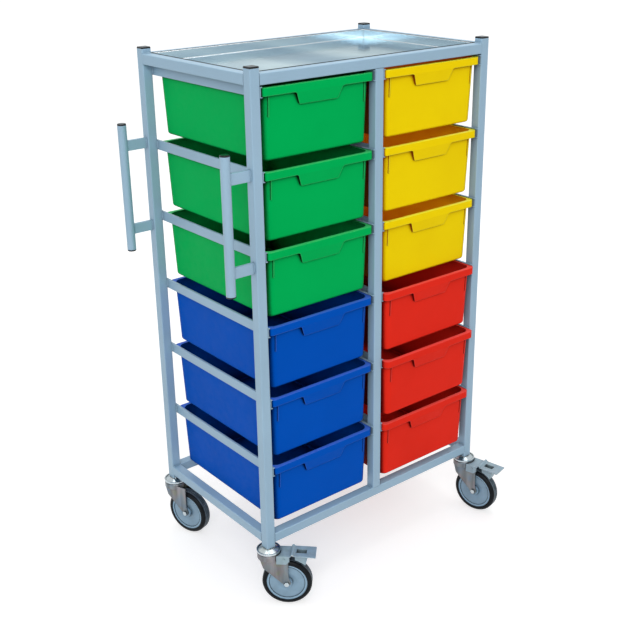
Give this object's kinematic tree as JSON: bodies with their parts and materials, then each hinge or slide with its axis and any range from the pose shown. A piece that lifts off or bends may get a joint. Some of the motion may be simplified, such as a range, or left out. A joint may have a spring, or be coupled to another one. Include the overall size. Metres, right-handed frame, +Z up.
{
  "type": "tray storage cart",
  "caption": "Upright square-tube cart on swivel casters with two columns of slide-out moulded trays on runners, a recessed pan on top and push handles at one end.",
  "frame": {"origin": "on the floor, under the middle of the rectangle of corner posts", "axes": "+X to the right with the push handles at the -X end, +Y to the back so trays pull out toward -Y, +Z up"},
  "size_m": [0.8458, 0.5871, 1.3275],
  "materials": {
    "frame_paint": "smooth pale blue-grey powder coat with a low sheen",
    "pan_sheet": "bright sheet with a soft reflection",
    "green_plastic": "moulded green plastic with a soft sheen",
    "blue_plastic": "moulded blue plastic with a soft sheen",
    "yellow_plastic": "moulded yellow plastic with a soft sheen",
    "red_plastic": "moulded red plastic with a soft sheen",
    "black_plastic": "moulded black plastic",
    "zinc_steel": "bright zinc-plated pressings",
    "hub_plastic": "moulded pale blue-grey plastic",
    "tyre_rubber": "dark grey rubber with fine tread lines"
  },
  "bodies": {
    "frame": {"post_front_left": "frame_paint", "post_front_right": "frame_paint", "post_back_left": "frame_paint", "post_back_right": "frame_paint", "post_front_centre": "frame_paint", "post_back_centre": "frame_paint", "top_rail_front": "frame_paint", "top_rail_back": "frame_paint", "top_rail_left": "frame_paint", "top_rail_right": "frame_paint", "bottom_rail_front": "frame_paint", "bottom_rail_back": "frame_paint", "bottom_rail_left": "frame_paint", "bottom_rail_right": "frame_paint", "runners_left_outer": "frame_paint", "runners_left_inner": "frame_paint", "runners_right_inner": "frame_paint", "runners_right_outer": "frame_paint", "top_pan": "pan_sheet", "post_caps": "black_plastic", "handle_front": "frame_paint", "handle_back": "frame_paint", "handle_stubs": "frame_paint", "handle_caps": "black_plastic", "caster_stem_front_left": "zinc_steel", "caster_stem_front_right": "zinc_steel", "caster_stem_back_left": "zinc_steel", "caster_stem_back_right": "zinc_steel"},
    "tray_left_1": {"tray_left_1": "green_plastic"},
    "tray_left_2": {"tray_left_2": "green_plastic"},
    "tray_left_3": {"tray_left_3": "green_plastic"},
    "tray_left_4": {"tray_left_4": "blue_plastic"},
    "tray_left_5": {"tray_left_5": "blue_plastic"},
    "tray_left_6": {"tray_left_6": "blue_plastic"},
    "tray_right_1": {"tray_right_1": "yellow_plastic"},
    "tray_right_2": {"tray_right_2": "yellow_plastic"},
    "tray_right_3": {"tray_right_3": "yellow_plastic"},
    "tray_right_4": {"tray_right_4": "red_plastic"},
    "tray_right_5": {"tray_right_5": "red_plastic"},
    "tray_right_6": {"tray_right_6": "red_plastic"},
    "swivel_front_left": {"caster_fork_front_left": "zinc_steel", "caster_axle_front_left": "zinc_steel"},
    "wheel_front_left": {"caster_hub_front_left": "hub_plastic", "caster_tyre_front_left": "tyre_rubber"},
    "pedal_front_left": {"brake_pedal_front_left": "zinc_steel"},
    "swivel_front_right": {"caster_fork_front_right": "zinc_steel", "caster_axle_front_right": "zinc_steel"},
    "wheel_front_right": {"caster_hub_front_right": "hub_plastic", "caster_tyre_front_right": "tyre_rubber"},
    "pedal_front_right": {"brake_pedal_front_right": "zinc_steel"},
    "swivel_back_left": {"caster_fork_back_left": "zinc_steel", "caster_axle_back_left": "zinc_steel"},
    "wheel_back_left": {"caster_hub_back_left": "hub_plastic", "caster_tyre_back_left": "tyre_rubber"},
    "swivel_back_right": {"caster_fork_back_right": "zinc_steel", "caster_axle_back_right": "zinc_steel"},
    "wheel_back_right": {"caster_hub_back_right": "hub_plastic", "caster_tyre_back_right": "tyre_rubber"}
  },
  "joints": [
    {"name": "slide_left_1", "type": "slide", "parent": "frame", "child": "tray_left_1", "axis": [0, -1, 0], "range_m": [0, 0.36]},
    {"name": "slide_left_2", "type": "slide", "parent": "frame", "child": "tray_left_2", "axis": [0, -1, 0], "range_m": [0, 0.36]},
    {"name": "slide_left_3", "type": "slide", "parent": "frame", "child": "tray_left_3", "axis": [0, -1, 0], "range_m": [0, 0.36]},
    {"name": "slide_left_4", "type": "slide", "parent": "frame", "child": "tray_left_4", "axis": [0, -1, 0], "range_m": [0, 0.36]},
    {"name": "slide_left_5", "type": "slide", "parent": "frame", "child": "tray_left_5", "axis": [0, -1, 0], "range_m": [0, 0.36]},
    {"name": "slide_left_6", "type": "slide", "parent": "frame", "child": "tray_left_6", "axis": [0, -1, 0], "range_m": [0, 0.36]},
    {"name": "slide_right_1", "type": "slide", "parent": "frame", "child": "tray_right_1", "axis": [0, -1, 0], "range_m": [0, 0.36]},
    {"name": "slide_right_2", "type": "slide", "parent": "frame", "child": "tray_right_2", "axis": [0, -1, 0], "range_m": [0, 0.36]},
    {"name": "slide_right_3", "type": "slide", "parent": "frame", "child": "tray_right_3", "axis": [0, -1, 0], "range_m": [0, 0.36]},
    {"name": "slide_right_4", "type": "slide", "parent": "frame", "child": "tray_right_4", "axis": [0, -1, 0], "range_m": [-0.012, 0.348]},
    {"name": "slide_right_5", "type": "slide", "parent": "frame", "child": "tray_right_5", "axis": [0, -1, 0], "range_m": [-0.018, 0.342]},
    {"name": "slide_right_6", "type": "slide", "parent": "frame", "child": "tray_right_6", "axis": [0, -1, 0], "range_m": [-0.01, 0.35]},
    {"name": "swivel_front_left", "type": "hinge", "parent": "frame", "child": "swivel_front_left", "pos_m": [-0.348, -0.2185, 0.16], "axis": [0, 0, 1], "continuous": true},
    {"name": "roll_front_left", "type": "hinge", "parent": "swivel_front_left", "child": "wheel_front_left", "pos_m": [-0.31509, -0.24919, 0.0625], "axis": [0.682, 0.7314, 0], "continuous": true},
    {"name": "brake_front_left", "type": "hinge", "parent": "swivel_front_left", "child": "pedal_front_left", "pos_m": [-0.31875, -0.24578, 0.1365], "axis": [0.682, 0.7314, 0], "range_deg": [0, 5.5]},
    {"name": "swivel_front_right", "type": "hinge", "parent": "frame", "child": "swivel_front_right", "pos_m": [0.348, -0.2185, 0.16], "axis": [0, 0, 1], "continuous": true},
    {"name": "roll_front_right", "type": "hinge", "parent": "swivel_front_right", "child": "wheel_front_right", "pos_m": [0.35851, -0.26226, 0.0625], "axis": [0.9724, 0.2334, 0], "continuous": true},
    {"name": "brake_front_right", "type": "hinge", "parent": "swivel_front_right", "child": "pedal_front_right", "pos_m": [0.35734, -0.25739, 0.1365], "axis": [0.9724, 0.2334, 0], "range_deg": [0, 5.5]},
    {"name": "swivel_back_left", "type": "hinge", "parent": "frame", "child": "swivel_back_left", "pos_m": [-0.348, 0.2185, 0.16], "axis": [0, 0, 1], "continuous": true},
    {"name": "roll_back_left", "type": "hinge", "parent": "swivel_back_left", "child": "wheel_back_left", "pos_m": [-0.33335, 0.17595, 0.0625], "axis": [0.9455, 0.3256, 0], "continuous": true},
    {"name": "swivel_back_right", "type": "hinge", "parent": "frame", "child": "swivel_back_right", "pos_m": [0.348, 0.2185, 0.16], "axis": [0, 0, 1], "continuous": true},
    {"name": "roll_back_right", "type": "hinge", "parent": "swivel_back_right", "child": "wheel_back_right", "pos_m": [0.3705, 0.17953, 0.0625], "axis": [0.866, 0.5, 0], "continuous": true}
  ]
}
